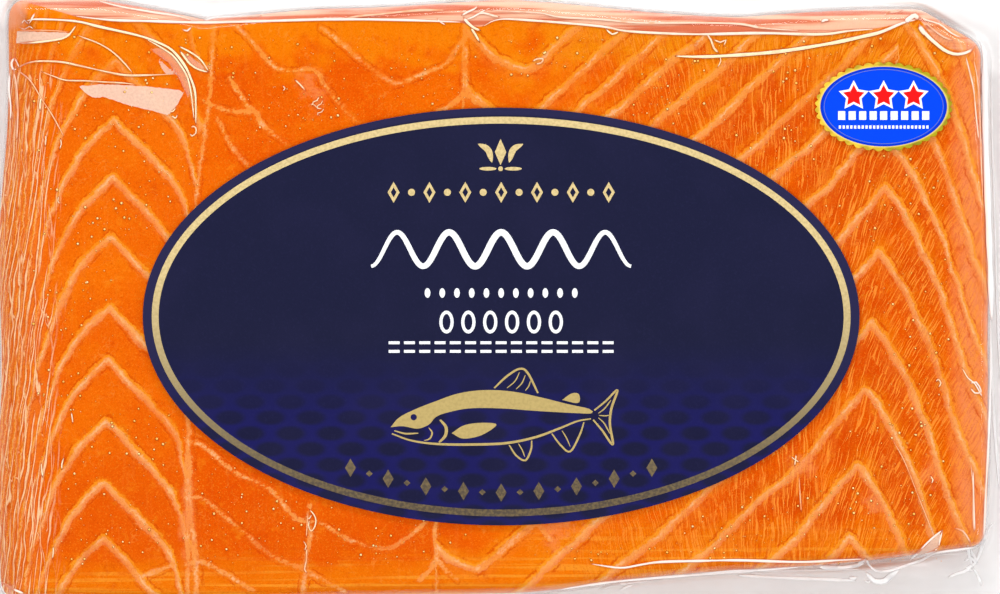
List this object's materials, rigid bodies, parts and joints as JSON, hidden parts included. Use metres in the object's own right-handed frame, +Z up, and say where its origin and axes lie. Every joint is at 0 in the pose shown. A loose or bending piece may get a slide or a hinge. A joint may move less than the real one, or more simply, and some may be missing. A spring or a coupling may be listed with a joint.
{
  "type": "pack of smoked salmon",
  "caption": "Piece of cold-smoked salmon fillet vacuum-packed in clear film, with a flat sealed margin, an oval label and a small scalloped sticker on top.",
  "frame": {"origin": "centre of the bounding box's bottom, on the surface that the pack lies on", "axes": "+X along the pack's length, towards the end with the small sticker; +Y across it, towards the edge that is at the top when the label is read; +Z up, out of the labelled face"},
  "size_m": [0.2, 0.13, 0.0183],
  "materials": {
    "salmon_in_film": "orange flesh with pale fat lines under clear glossy film",
    "label_print": "navy with gold and white print, satin",
    "sticker_print": "blue with a gold scalloped rim, satin"
  },
  "bodies": {
    "root": {"pack": "salmon_in_film", "label": "label_print", "sticker": "sticker_print"}
  },
  "joints": []
}
